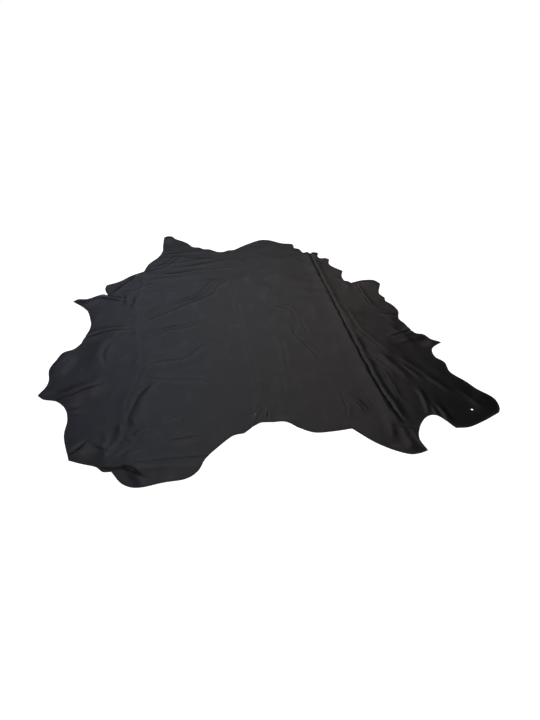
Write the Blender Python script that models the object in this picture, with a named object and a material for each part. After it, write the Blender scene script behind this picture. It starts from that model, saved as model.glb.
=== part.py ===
# A whole leather hide, lying open on a flat surface with its grain side up.
# It is one uncut sheet: the outline of the skin, the creases it was packed in, and the
# ridges and pleats that stand up where it does not lie flat.
#
# Axes: +Y runs along the backbone towards the neck, +X towards the right flank, +Z up.
# The origin is at the middle of the outline, on the surface that the hide lies on.
# Tables are in millimetres; the mesh is made in metres.

import math

import bmesh
import bpy
import numpy as np
from mathutils import Vector
from mathutils.geometry import delaunay_2d_cdt

MM = 0.001

# Sheet
THICKNESS = 1.2
HOLE_CENTRE = (980, -1160)
HOLE_DIAMETER = 12
HOLE_SIDES = 12

# Look of the leather
LEATHER_COLOUR = (0.012, 0.012, 0.013, 1)
LEATHER_ROUGHNESS = 0.48

# Spacing of the mesh points
EDGE_STEP = 30
ROUTE_STEP = 8
STATION_STEP = 58
FILLER_STEP = 120
EDGE_CLEARANCE = 12
POINT_CLEARANCE = 13
CREASE_FLANK_SHARE = 0.6
RIDGE_FLANK_SHARE = 0.5
LIFT_RINGS = ((0, 1), (0.35, 6), (0.68, 10), (1, 14))

# Triangulation: all triangles of the hull are asked for, and those outside the skin dropped
WHOLE_HULL = 0
MERGE_DISTANCE = 1e-9

# Edges sharper than this angle, in degrees, are shaded as edges
SHARP_ANGLE = 50

# Form of a fold
FOLD_TAPER = 130
FOLD_TAPER_SHARE = 0.4
VALLEY_CREST_SHARE = 0.24
UNEVEN_SHARE = 0.22
UNEVEN_LENGTH = 310

# Cut edge, anticlockwise from the left cheek. Each stretch is one smooth curve through its
# points (x, y), and it ends where the next one starts. Between two stretches is a corner.
EDGE_STRETCHES = (
    ("left cheek end", ((-440, 1390), (-475, 1396), (-505, 1375))),
    ("left cheek", ((-505, 1375), (-515, 1220), (-520, 1070), (-555, 955), (-620, 845), (-655, 710))),
    ("left shoulder", ((-655, 710), (-750, 645), (-825, 570), (-905, 530))),
    ("left fore shank, upper end", ((-905, 530), (-912, 475), (-885, 370))),
    ("left fore shank, lower end", ((-885, 370), (-920, 392), (-1015, 338), (-1075, 344), (-1105, 314))),
    ("left armpit", ((-1105, 314), (-1045, 240), (-997, 172), (-965, 60), (-950, -40), (-980, -225))),
    ("left belly", ((-980, -225), (-1015, -278), (-1070, -314), (-1092, -394), (-1114, -476),
                    (-1101, -586), (-1131, -698))),
    ("left flank", ((-1131, -698), (-1100, -728), (-1039, -752), (-978, -826), (-957, -910),
                    (-956, -1014), (-908, -1186))),
    ("left hind shank end", ((-908, -1186), (-792, -1239), (-756, -1272), (-723, -1276))),
    ("left butt", ((-723, -1276), (-672, -1353), (-610, -1387), (-510, -1380), (-412, -1370),
                   (-360, -1336), (-322, -1266), (-231, -1177), (-186, -1145), (-139, -1139))),
    ("tail notch", ((-139, -1139), (-61, -1085), (0, -1088), (71, -1101), (120, -1145), (181, -1187),
                    (270, -1195), (361, -1191))),
    ("right butt", ((361, -1191), (450, -1311), (563, -1393), (605, -1396), (650, -1386))),
    ("right hock", ((650, -1386), (640, -1321), (675, -1240), (734, -1177), (770, -1166),
                    (798, -1181), (841, -1270))),
    ("right hind shank end", ((841, -1270), (900, -1275), (985, -1250), (1098, -1203))),
    ("right flank", ((1098, -1203), (1120, -1171), (1131, -1102), (1085, -1015), (1060, -945),
                     (1017, -852), (1028, -758), (1001, -704), (1018, -625), (1097, -574))),
    ("right belly", ((1097, -574), (1058, -537), (1033, -466), (990, -447), (975, -390), (972, -330),
                     (958, -268), (992, -168), (980, -75), (959, -26), (968, 16), (953, 77),
                     (1011, 220))),
    ("right fore shank end", ((1011, 220), (982, 286), (904, 299), (813, 273))),
    ("right shoulder nick", ((813, 273), (794, 307), (778, 307), (776, 379), (810, 477))),
    ("right shoulder, scallop 1", ((810, 477), (759, 557), (744, 614), (767, 701))),
    ("right shoulder, scallop 2", ((767, 701), (742, 726), (709, 724), (690, 747), (713, 838))),
    ("right shoulder, scallop 3", ((713, 838), (675, 849), (644, 823), (627, 856))),
    ("right shoulder, scallop 4", ((627, 856), (593, 851), (579, 938), (544, 969))),
    ("right cheek", ((544, 969), (544, 1050), (466, 1084), (370, 1170), (330, 1186), (295, 1184))),
    ("neck", ((295, 1184), (221, 1142), (130, 1075), (46, 1011), (5, 1010), (-38, 982), (-78, 990),
              (-145, 1058), (-185, 1067), (-223, 1109), (-271, 1129), (-325, 1235), (-407, 1326),
              (-440, 1390))),
)

# Creases that lie on the surface between two raised shoulders.
# Columns: name, left height, left width, right height, right width, route. Left and right are
# seen along the route. A route that runs past the edge carries the crease over the edge.
CREASES = (
    ("packing fold, right", 7, 100, 4, 50,
     ((625, -1225), (610, -1110), (597, -900), (598, -650), (604, -300), (622, 180), (636, 560),
      (650, 930))),
    ("packing fold, left", 0.4, 50, 1, 60,
     ((-625, 790), (-635, 420), (-655, 80), (-648, -190), (-628, -370), (-622, -530), (-660, -710),
      (-685, -860), (-668, -985), (-690, -1080), (-730, -1180))),
    ("packing fold, centre", 1, 50, 1, 50,
     ((-40, 1060), (-35, 550), (-33, 100), (-27, -400), (-27, -800), (-38, -1180))),
    ("packing fold, short right", 2.2, 40, 1.9, 34, ((845, 340), (836, 80), (842, -150))),
    ("fold beside the right one", 1.8, 50, 1.3, 40,
     ((663, -60), (660, -330), (690, -440), (712, -520), (745, -640))),
    ("third fold of the right panel", 1.8, 40, 1.5, 30,
     ((628, -540), (655, -650), (695, -720), (730, -860))),
    ("twin fold, upper", 2.5, 38, 2.2, 56,
     ((-665, 5), (-595, 65), (-465, 155), (-330, 225), (-260, 280), (-210, 340), (-170, 425), (-132, 540))),
    ("twin fold, lower", 2.6, 38, 3.4, 92,
     ((-660, -60), (-590, 0), (-465, 80), (-300, 190), (-230, 235), (-170, 300), (-112, 470))),
    ("left fan fold 1", 2.8, 46, 2.8, 84,
     ((-630, -250), (-530, -195), (-480, -155), (-410, -155), (-315, -125), (-210, -100))),
    ("left fan fold 2", 3.2, 56, 3.6, 100,
     ((-640, -545), (-560, -495), (-425, -480), (-380, -465), (-340, -425), (-300, -375), (-225, -330))),
    ("left fan fold 3", 1, 50, 6.5, 150,
     ((-690, -1030), (-668, -920), (-645, -830), (-622, -760), (-575, -690), (-500, -655))),
    ("left fan fold 3, far end", 2.4, 60, 2.6, 100,
     ((-640, -690), (-575, -655), (-470, -668), (-315, -695), (-275, -730), (-220, -800))),
    ("left fan fold 4", 1.9, 46, 2.6, 76,
     ((-545, -1200), (-500, -1140), (-430, -1130), (-365, -1125), (-260, -1130))),
    ("left fan fold 4, small", 1.4, 38, 1.8, 54, ((-505, -1090), (-405, -1080), (-330, -1060))),
    ("left fan fold 5", 1.5, 40, 1.9, 60, ((-550, -1015), (-475, -980), (-380, -955))),
    ("long crease of the left butt", 3, 44, 4.6, 170,
     ((-680, -1228), (-600, -1238), (-500, -1246), (-410, -1250), (-225, -1262))),
    ("second crease of the left butt", 1.4, 36, 2, 60, ((-590, -1258), (-450, -1272), (-310, -1290))),
    ("left armpit crease", 3.2, 70, 4.2, 100,
     ((-1060, -200), (-960, -160), (-850, -108), (-740, -105), (-650, -80))),
    ("left belly arc", 1.2, 50, 4, 130,
     ((-650, -110), (-780, -205), (-832, -300), (-840, -380), (-822, -450), (-785, -520))),
    ("left flank crease", 5, 80, 6.5, 110, ((-1110, -775), (-1000, -718), (-905, -670), (-790, -622))),
    ("left hock crease", 3, 60, 3.4, 76, ((-1060, -838), (-950, -828), (-860, -815))),
    ("left hind shank crease", 4.6, 74, 6, 100, ((-990, -1215), (-890, -1118), (-820, -1035))),
    ("left shoulder crease", 2.4, 52, 2.8, 76, ((-575, 720), (-460, 840), (-395, 945), (-370, 1010))),
    ("left shoulder crease, cross", 1.4, 40, 1.8, 60, ((-570, 612), (-460, 596), (-355, 590), (-110, 612))),
    ("right belly crease", 4.2, 64, 5, 60, ((1060, -380), (950, -425), (880, -447), (800, -475))),
    ("right butt cross crease", 1.8, 44, 2.2, 50, ((520, -1180), (620, -1225), (735, -1260))),
    ("middle crease 1", 2.6, 56, 3, 76, ((275, -170), (275, -365), (305, -450), (330, -530), (365, -670))),
    ("middle crease 2", 2, 50, 2.4, 64, ((352, -90), (345, -285), (352, -430))),
    ("middle crease 3", 2.4, 54, 2.8, 70, ((180, 130), (245, 10), (300, -25), (306, -185))),
    ("middle crease 4", 1.9, 60, 2.4, 84, ((188, -280), (172, -490), (150, -750))),
    ("middle crease 5", 1.7, 46, 1.8, 60, ((108, -720), (95, -930))),
    ("tail crease 1", 1.8, 40, 2, 46, ((-55, -670), (-25, -790), (0, -845), (40, -930))),
    ("tail crease 2", 2.6, 30, 2.4, 26, ((60, -880), (28, -950), (-5, -1020), (-20, -1140))),
    ("tail crease 3", 2.6, 26, 2.6, 30, ((-35, -930), (-65, -1005), (-100, -1085), (-118, -1160))),
)

# Folds that stand up along a crest.
# Columns: name, height, left width, right width, route.
RIDGES = (
    ("hind pleat", 9, 110, 19,
     ((-850, -1225), (-775, -1240), (-720, -1253), (-668, -1254), (-638, -1270), (-604, -1300),
      (-570, -1328), (-525, -1350))),
    ("left flank fold", 3, 60, 44, ((-1060, -850), (-980, -800), (-915, -762), (-850, -712), (-770, -645))),
    ("left fore shank fold", 5.5, 40, 34, ((-870, 350), (-810, 440), (-740, 545), (-640, 680))),
    ("fore shank overlap", 7, 42, 28, ((-1010, 345), (-915, 345), (-850, 318), (-740, 262))),
    ("left shoulder bump, outer", 5, 36, 36, ((-742, 400), (-745, 290), (-730, 170))),
    ("left shoulder bump, inner", 4.6, 34, 34, ((-690, 340), (-690, 230), (-700, 110))),
    ("left hind shank fold", 3, 36, 30, ((-840, -1040), (-790, -1100), (-740, -1180))),
    ("left butt lobe fold", 3.4, 40, 30, ((-660, -1270), (-610, -1325), (-585, -1410))),
    ("gathered fold 1 by the hind pleat", 2.6, 34, 26, ((-775, -1200), (-735, -1150), (-690, -1120))),
    ("gathered fold 2 by the hind pleat", 3.2, 36, 28, ((-735, -1215), (-690, -1160), (-630, -1130))),
    ("gathered fold 4 by the hind pleat", 3, 32, 24, ((-770, -1150), (-760, -1085), (-770, -1010))),
    ("gathered fold 5 by the hind pleat", 2.6, 32, 24, ((-715, -1110), (-700, -1040), (-720, -950))),
    ("gathered fold 6 by the hind pleat", 3, 26, 20, ((-650, -1100), (-610, -1050), (-560, -1030))),
    ("tail fold", 3, 30, 26, ((10, -960), (-45, -1060), (-62, -1150))),
    ("right butt fold 2", 2.6, 32, 28, ((590, -1190), (592, -1260), (580, -1400))),
    ("right butt fold 3", 3, 34, 30, ((625, -1225), (640, -1300), (665, -1400))),
    ("right flank fold", 3.4, 40, 30, ((668, -560), (705, -660), (745, -760), (780, -900))),
    ("right hind shank fold 2", 2.6, 32, 26, ((770, -700), (815, -815), (860, -910))),
    ("right hock fold 1", 3.6, 30, 22, ((785, -920), (783, -1040), (750, -1190))),
    ("right hock fold 2", 3.2, 26, 22, ((800, -1040), (800, -1110), (785, -1220))),
    ("right hock fold 3", 4.4, 30, 24, ((815, -1030), (830, -1130), (828, -1270))),
    ("right belly fold", 4, 40, 34, ((800, -525), (930, -508), (1060, -478))),
    ("right belly edge fold", 3, 36, 34, ((820, -185), (915, -215), (1020, -250))),
    ("right fore shank fold", 3, 44, 40, ((720, 420), (760, 300), (770, 160))),
)

# Places where an edge or a panel of the skin lifts off the surface.
# Columns: name, x, y, height, radius along, radius across, direction in degrees.
LIFTS = (
    ("left belly lobe", -1075, -430, 12, 190, 100, 80),
    ("left flank tip", -1110, -690, 6, 90, 60, 20),
    ("left hind shank end", -880, -1150, 4, 110, 90, -25),
    ("left butt lobe", -540, -1390, 7, 170, 90, 10),
    ("left fore shank end", -1010, 265, 7, 130, 70, 40),
    ("left shoulder edge", -690, 640, 6, 120, 70, 40),
    ("left cheek", -475, 1340, 6, 120, 80, 90),
    ("right butt end", 620, -1350, 5, 110, 80, 10),
    ("right hind shank end", 1060, -1120, 3.5, 130, 80, 60),
    ("right flank tip", 1050, -570, 6, 90, 60, 20),
    ("right fore shank end", 930, 240, 6, 130, 80, 0),
    ("right shoulder edge", 690, 770, 4, 130, 60, -60),
    ("tail edge", 60, -1090, 6, 90, 60, 0),
    ("tent of the right fold", 628, -300, 6.5, 760, 340, 90),
)


def smooth_curve(points, step):
    """Points about step apart on the smooth curve that runs through the given ones."""
    p = np.array(points, float)
    p = np.vstack([2 * p[0] - p[1], p, 2 * p[-1] - p[-2]])
    curve = []
    for a, b, c, d in zip(p[:-3], p[1:-2], p[2:-1], p[3:]):
        t1 = math.sqrt(np.linalg.norm(b - a))
        t2 = t1 + math.sqrt(np.linalg.norm(c - b))
        t3 = t2 + math.sqrt(np.linalg.norm(d - c))
        count = max(2, round(np.linalg.norm(c - b) / step))
        for t in t1 + (t2 - t1) * np.arange(count) / count:
            ab = a + (b - a) * t / t1
            bc = b + (c - b) * (t - t1) / (t2 - t1)
            cd = c + (d - c) * (t - t2) / (t3 - t2)
            abc = ab + (bc - ab) * t / t2
            bcd = bc + (cd - bc) * (t - t1) / (t3 - t1)
            curve.append(abc + (bcd - abc) * (t - t1) / (t2 - t1))
    curve.append(p[-2])
    return np.array(curve)


def cut_edge():
    """The whole edge as one closed loop."""
    return np.vstack([smooth_curve(points, EDGE_STEP)[:-1] for _, points in EDGE_STRETCHES])


def hole_edge():
    turn = 2 * math.pi * np.arange(HOLE_SIDES) / HOLE_SIDES
    ring = np.stack([np.cos(turn), np.sin(turn)], 1) * HOLE_DIAMETER / 2
    return ring + np.array(HOLE_CENTRE, float)


class Route:
    """The line that a fold follows over the hide."""

    def __init__(self, points):
        self.line = smooth_curve(points, ROUTE_STEP)
        self.run = np.diff(self.line, axis=0)
        self.length = np.linalg.norm(self.run, axis=1)
        self.start = np.concatenate([[0], np.cumsum(self.length)])
        self.total = self.start[-1]

    def measure(self, points):
        """Distance along the route and signed distance from it, left positive."""
        best = np.full(len(points), np.inf)
        along = np.zeros(len(points))
        aside = np.zeros(len(points))
        for a, run, length, start in zip(self.line, self.run, self.length, self.start):
            offset = points - a
            share = np.clip(offset @ run / length ** 2, 0, 1)
            gap = np.linalg.norm(offset - share[:, None] * run, axis=1)
            side = np.sign(run[0] * offset[:, 1] - run[1] * offset[:, 0])
            nearer = gap < best
            best[nearer] = gap[nearer]
            along[nearer] = (start + share * length)[nearer]
            aside[nearer] = (gap * side)[nearer]
        return along, aside

    def strength(self, along):
        """A fold fades out at both ends and is never quite even between them."""
        taper = min(FOLD_TAPER, FOLD_TAPER_SHARE * self.total)
        fade = np.clip(np.minimum(along, self.total - along) / taper, 0, 1)
        phase = self.line[0].sum() / UNEVEN_LENGTH
        uneven = 1 + UNEVEN_SHARE * np.sin(2 * math.pi * along / UNEVEN_LENGTH + phase)
        return fade * fade * (3 - 2 * fade) * uneven

    def stations(self, offsets):
        """Points beside the route, at each offset from it, for the mesh to follow."""
        count = max(3, round(self.total / STATION_STEP))
        at = np.linspace(0, self.total, count + 1)[1:-1]
        centre = np.stack([np.interp(at, self.start, self.line[:, k]) for k in (0, 1)], 1)
        heading = np.stack([np.interp(at + 1, self.start, self.line[:, k]) for k in (0, 1)], 1) - centre
        heading /= np.linalg.norm(heading, axis=1)[:, None]
        left = np.stack([-heading[:, 1], heading[:, 0]], 1)
        return [centre + left * offset for offset in offsets]


def crest(u):
    """Cross section of a ridge: 1 on its line, 0 from u = 1 outwards."""
    return 0.5 + 0.5 * np.cos(math.pi * np.clip(u, 0, 1))


def shoulder(u):
    """Cross section beside a crease: 0 on its line, 1 on the shoulder, 0 from u = 1 outwards."""
    rise = np.sin(0.5 * math.pi * np.clip(u / VALLEY_CREST_SHARE, 0, 1))
    fall = crest((u - VALLEY_CREST_SHARE) / (1 - VALLEY_CREST_SHARE))
    return np.where(u < VALLEY_CREST_SHARE, rise, fall)


def crease_height(points, row):
    _, left_height, left_width, right_height, right_width, route = row
    route = Route(route)
    along, aside = route.measure(points)
    left = left_height * shoulder(aside / left_width)
    right = right_height * shoulder(-aside / right_width)
    return np.where(aside > 0, left, right) * route.strength(along)


def ridge_height(points, row):
    _, height, left_width, right_width, route = row
    route = Route(route)
    along, aside = route.measure(points)
    section = np.where(aside > 0, crest(aside / left_width), crest(-aside / right_width))
    return height * section * route.strength(along)


def lift_frame(row):
    _, x, y, _, along, across, direction = row
    turn = math.radians(direction)
    axis = np.array([math.cos(turn), math.sin(turn)])
    side = np.array([-axis[1], axis[0]])
    return np.array([x, y], float), axis * along, side * across


def lift_height(points, row):
    centre, along, across = lift_frame(row)
    offset = points - centre
    u = np.hypot(offset @ along / (along @ along), offset @ across / (across @ across))
    return row[3] * crest(u)


def rest_height(points):
    """Height of the underside over the surface, 0 wherever the hide lies flat."""
    height = np.zeros(len(points))
    for rows, measure in ((CREASES, crease_height), (RIDGES, ridge_height), (LIFTS, lift_height)):
        for row in rows:
            height += np.maximum(measure(points, row), 0)
    return height


def fold_points():
    """Mesh points on every fold, the crests and crease lines first."""
    lines = []
    flanks = []
    for _, _, left_width, _, right_width, route in CREASES:
        shares = (0, VALLEY_CREST_SHARE, 1, CREASE_FLANK_SHARE)
        offsets = [share * left_width for share in shares]
        offsets += [-share * right_width for share in shares[1:]]
        found = Route(route).stations(offsets)
        lines += found[0:2] + found[4:5]
        flanks += found[2:4] + found[5:]
    for _, _, left_width, right_width, route in RIDGES:
        shares = (0, 1, RIDGE_FLANK_SHARE)
        offsets = [share * left_width for share in shares]
        offsets += [-share * right_width for share in shares[1:]]
        found = Route(route).stations(offsets)
        lines += found[:1]
        flanks += found[1:]
    for row in LIFTS:
        centre, along, across = lift_frame(row)
        for share, count in LIFT_RINGS:
            turn = 2 * math.pi * (np.arange(count) + 0.5) / count
            ring = np.cos(turn)[:, None] * along + np.sin(turn)[:, None] * across
            flanks.append(centre + share * ring)
    return np.vstack(lines + flanks)


def filler_points(edge):
    """An even, staggered spread of points for the flat leather between the folds."""
    low, high = edge.min(0), edge.max(0)
    rows = np.arange(low[1], high[1], FILLER_STEP)
    points = []
    for number, y in enumerate(rows):
        start = low[0] + FILLER_STEP / 2 * (number % 2)
        points += [(x, y) for x in np.arange(start, high[0], FILLER_STEP)]
    return np.array(points)


def inside(points, loop):
    """Even-odd test of points against a closed loop."""
    found = np.zeros(len(points), bool)
    x, y = points[:, 0], points[:, 1]
    for (ax, ay), (bx, by) in zip(loop, np.roll(loop, -1, axis=0)):
        crosses = (ay > y) != (by > y)
        if ay != by:
            found ^= crosses & (x < ax + (y - ay) * (bx - ax) / (by - ay))
    return found


def gap_to_loop(points, loop):
    best = np.full(len(points), np.inf)
    for a, b in zip(loop, np.roll(loop, -1, axis=0)):
        run = b - a
        share = np.clip((points - a) @ run / (run @ run), 0, 1)
        best = np.minimum(best, np.linalg.norm(points - a - share[:, None] * run, axis=1))
    return best


def spread_points(edge, hole):
    """Points inside the cut edge, none of them close to another or to an edge."""
    points = np.vstack([fold_points(), filler_points(edge)])
    clear = inside(points, edge) & (gap_to_loop(points, edge) > EDGE_CLEARANCE)
    points = points[clear & (gap_to_loop(points, hole) > EDGE_CLEARANCE) & ~inside(points, hole)]
    kept = np.empty((0, 2))
    for point in points:
        if not len(kept) or np.min(np.sum((kept - point) ** 2, axis=1)) > POINT_CLEARANCE ** 2:
            kept = np.vstack([kept, point])
    return kept


def sheet_triangles():
    """The hide seen from above, as plane points and triangles."""
    edge, hole = cut_edge(), hole_edge()
    points = np.vstack([edge, hole, spread_points(edge, hole)])
    outer = list(range(len(edge)))
    inner = list(range(len(edge), len(edge) + len(hole)))
    borders = [(a, b) for loop in (outer, inner) for a, b in zip(loop, loop[1:] + loop[:1])]
    flat = [Vector((x * MM, y * MM)) for x, y in points]
    result = delaunay_2d_cdt(flat, borders, [], WHOLE_HULL, MERGE_DISTANCE)
    corners = np.array([tuple(v) for v in result[0]]) / MM
    centres = np.array([corners[list(face)].mean(0) for face in result[2]])
    wanted = inside(centres, edge) & ~inside(centres, hole)
    return corners, [face for face, keep in zip(result[2], wanted) if keep]


def leather_material():
    material = bpy.data.materials.new("black leather")
    material.use_nodes = True
    shader = material.node_tree.nodes["Principled BSDF"]
    shader.inputs["Base Color"].default_value = LEATHER_COLOUR
    shader.inputs["Roughness"].default_value = LEATHER_ROUGHNESS
    shader.inputs["Metallic"].default_value = 0
    return material


def make_hide():
    corners, triangles = sheet_triangles()
    height = rest_height(corners)
    shape = bmesh.new()
    verts = [shape.verts.new((x * MM, y * MM, z * MM)) for (x, y), z in zip(corners, height)]
    for triangle in triangles:
        shape.faces.new([verts[k] for k in triangle])
    for vert in [v for v in shape.verts if not v.link_faces]:
        shape.verts.remove(vert)
    grown = bmesh.ops.extrude_face_region(shape, geom=shape.faces[:])
    grain_side = [item for item in grown["geom"] if isinstance(item, bmesh.types.BMVert)]
    bmesh.ops.translate(shape, vec=(0, 0, THICKNESS * MM), verts=grain_side)
    bmesh.ops.recalc_face_normals(shape, faces=shape.faces[:])
    mesh = bpy.data.meshes.new("hide")
    shape.to_mesh(mesh)
    shape.free()
    mesh.shade_smooth()
    mesh.set_sharp_from_angle(angle=math.radians(SHARP_ANGLE))
    mesh.materials.append(leather_material())
    hide = bpy.data.objects.new("hide", mesh)
    bpy.context.scene.collection.objects.link(hide)
    return hide


for old in list(bpy.data.objects):
    bpy.data.objects.remove(old, do_unlink=True)

make_hide()
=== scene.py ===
# The looks of a whole leather hide that lies open on a pale floor, grain side up.
# The hide is one sheet: a grain side, a flesh side and a raw cut edge between them.
# The fold tables are in millimetres in the hide's own frame; the scene itself is in metres.

import math

import bpy
import numpy as np
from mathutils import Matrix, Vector
from mathutils.geometry import delaunay_2d_cdt
from mathutils.kdtree import KDTree


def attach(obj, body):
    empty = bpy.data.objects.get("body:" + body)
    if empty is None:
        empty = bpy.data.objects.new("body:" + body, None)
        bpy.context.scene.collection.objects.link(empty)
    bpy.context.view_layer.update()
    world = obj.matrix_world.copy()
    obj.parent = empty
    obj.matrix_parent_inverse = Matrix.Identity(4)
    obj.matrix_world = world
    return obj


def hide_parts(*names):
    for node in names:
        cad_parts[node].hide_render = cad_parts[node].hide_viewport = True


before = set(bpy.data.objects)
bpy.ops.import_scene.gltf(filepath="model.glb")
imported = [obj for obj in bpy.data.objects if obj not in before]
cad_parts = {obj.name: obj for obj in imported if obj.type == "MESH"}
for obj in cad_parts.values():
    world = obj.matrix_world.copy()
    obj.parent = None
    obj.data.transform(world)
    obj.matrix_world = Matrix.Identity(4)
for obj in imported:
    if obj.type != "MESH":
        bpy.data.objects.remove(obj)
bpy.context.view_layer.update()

MM = 0.001

# Sheet
THICKNESS = 1.2
HOLE_CENTRE = (980, -1160)
HOLE_DIAMETER = 12
HOLE_SIDES = 20

# Camera: where the photographer stood, in metres, and how the camera was held
CAMERA_PLACE = (-0.308, -2.828, 1.6)
CAMERA_PITCH_DOWN = 35
CAMERA_TURN_RIGHT = 9.74
CAMERA_LENS = 25
CAMERA_SENSOR = 36

# Light: a wall of upright panels behind the hide, single panels before it, round the hide and over
# it, and a high soft light that only the dull surfaces answer. All in metres.
# The wall's panels have columns: name, left edge, right edge, lower edge, radiance, colour.
# The single panels have columns: name, place, tilt and turn in degrees, width, height, radiance,
# colour.
WORLD_STRENGTH = 0.008
WORLD_COLOUR = (1, 0.97, 0.94, 1)
WORLD_AS_SEEN = (1, 1, 1, 1)
PANEL_PLANE = 4.2
PANEL_TOP = 10.0
PANELS = (
    ("window_far_left", -7.0, -3.0, 2.4, 0.28, (0.72, 0.74, 1.0)),
    ("window_outer_left", -3.0, -1.7, 2.0, 0.45, (0.70, 0.72, 1.0)),
    ("window_left", -1.7, -0.2, 1.35, 0.63, (0.76, 0.83, 1.0)),
    ("window_middle", -0.2, 1.3, 1.35, 0.56, (0.95, 0.94, 1.0)),
    ("window_right", 1.3, 2.8, 1.6, 0.52, (1.0, 0.87, 0.83)),
    ("window_outer_right", 2.8, 3.4, 2.6, 0.46, (1.0, 0.87, 0.83)),
    ("window_far_right", 3.4, 3.8, 5.0, 0.20, (1.0, 0.92, 0.90)),
)
SINGLE_PANELS = (
    ("panel_high_at_the_left", (-1.05, 4.1, 7.75), -90, 0, 1.5, 4.5, 0.70, (1.0, 0.93, 0.85)),
    ("panel_high_at_the_right", (3.0, 4.1, 7.6), -90, 0, 0.8, 4.8, 0.80, (1.0, 0.91, 0.90)),
    ("panel_behind_the_camera", (0, -7, 3.6), -90, 180, 9, 4.8, 0.34, (1, 1, 1)),
    ("panel_at_the_left", (-6.5, -1.8, 3.4), -90, 90, 6, 4.4, 0.30, (1, 1, 1)),
    ("panel_at_the_right", (6.5, -2.6, 3.4), -90, -90, 5, 4.4, 0.30, (1, 1, 1)),
    ("panel_overhead", (0, -0.9, 7), 0, 0, 6, 5, 0.5, (1, 1, 1)),
)
SUN_STRENGTH = 5.5
SUN_ANGLE = 40
SUN_LEAN = 48

# Floor, in metres
FLOOR_SIZE = 400
FLOOR_GAP = 0.0004
FLOOR_COLOUR = (0.92, 0.92, 0.92)
FLOOR_ROUGHNESS = 0.9

# Finishes: linear colours, and sizes and depths in metres. A range gives the two values of a
# pattern between which the finish changes.

# Grain side
BLACK = (0.0020, 0.0020, 0.0022)
BLACK_COOL = (0.0020, 0.0022, 0.0026)
BLACK_FADED = (0.0027, 0.0026, 0.0025)
# Lighter black on the crests: partly rubbed wear, partly painted sheen
BLACK_RUBBED_AND_SHEEN = (0.0030, 0.0029, 0.0028)
# Darker black in the valleys: painted shade
PAINTED_VALLEY_SHADE = (0.0016, 0.0016, 0.0017)
RIM_DRY = (0.0070, 0.0064, 0.0060)
FADED_SHARE = 0.6
RUBBED_AND_SHEEN_SHARE = 0.6
PAINTED_VALLEY_SHADE_SHARE = 0.8
CAST_SIZE = 0.55
CAST_RANGE = (0.35, 0.65)
PATCH_SIZE = 0.12
PATCH_FADE_RANGE = (0.45, 0.75)
PATCH_RIM_RANGE = (0.3, 0.6)
PATCH_GLOSS_RANGE = (0.3, 0.7)
CREST_RUB_AND_SHEEN_RANGE = (0.15, 0.8)
CREST_GLOSS_RANGE = (0.1, 0.8)
VALLEY_SHADE_RANGE = (-0.2, -0.9)
RIM_DRY_RANGE = (0.3, 1.0)
RIM_DULL_RANGE = (0.2, 1.0)
GRAIN_SPECULAR = 0.5
GRAIN_ROUGHNESS = 0.32
GLOSSY_PATCH = -0.02
DULL_PATCH = 0.03
DULL_BETWEEN_PEBBLES = 0.08
GLOSSY_CREST = -0.05
DULL_RIM = 0.14
COAT_WEIGHT = 0.03
COAT_ROUGHNESS = 0.35
PEBBLE = 0.0016
PEBBLE_BORDER_RANGE = (0.0, 0.32)
PEBBLE_RANGE = (0.0, 0.6)
PEBBLE_DEPTH = 0.00004
PEBBLE_WARP_SCALE = 240
PEBBLE_WARP_SHARE = 0.6
PORE_SPACING = 0.0034
PORE_RANGE = (0.0, 0.22)
PORE_DEPTH = 0.00006
CREASING_SIZE = 0.02
CREASING_DEPTH = 0.00035
GROWTH_SIZE = 0.03
GROWTH_TURN = 4
GROWTH_STRETCH = (0.28, 1.0, 1.0)
GROWTH_DEPTH = 0.0006

# Flesh side
SUEDE = (0.030, 0.028, 0.027)
SUEDE_LIGHT = (0.052, 0.048, 0.045)
SUEDE_DARK = (0.014, 0.013, 0.012)
SUEDE_ROUGHNESS = 0.92
SUEDE_SPECULAR = 0.15
SUEDE_SHEEN = 0.35
SUEDE_SHEEN_ROUGHNESS = 0.6
NAP_SIZE = 0.0016
NAP_RANGE = (0.35, 0.7)
NAP_SHARE = 0.5
NAP_DEPTH = 0.0004
BRUSHED_SIZE = 0.03
BRUSHED_TURN = 35
BRUSHED_STRETCH = (0.4, 1.0, 1.0)
BRUSHED_RANGE = (0.35, 0.65)
BRUSHED_GLOSS_RANGE = (0.3, 0.7)
BRUSHED_ROUGHNESS = (0.86, 0.98)
VEIN_SPACING = 0.14
VEIN_WARP_SCALE = 9
VEIN_WARP = 0.12
VEIN_RANGE = (0.0, 0.05)
VEIN_SHARE = 0.35
VEIN_DEPTH = 0.0002

# Raw edge
EDGE_DARK = (0.010, 0.009, 0.009)
EDGE_FIBRE = (0.052, 0.045, 0.040)
EDGE_ROUGHNESS = 0.88
EDGE_SPECULAR = 0.2
FIBRE_SIZE = 0.0007
FIBRE_STRETCH = (1.0, 1.0, 3.0)
FIBRE_RANGE = (0.35, 0.7)
FIBRE_GLOSS_RANGE = (0.3, 0.7)
FIBRE_ROUGHNESS = (0.8, 0.96)
FIBRE_DEPTH = 0.0003

# Wear, painted sheen and painted shade: how far the worn rim reaches from the cut edge, and how far a point
# stands from those round it where a crest is fully rubbed and painted with sheen and where a valley is
# fully painted with shade, both in millimetres, and how often the sheet is smoothed to find its crests
RIM_WIDTH = 28
CREST_SCALE = 0.5
CREST_ROUNDS = 3

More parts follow.
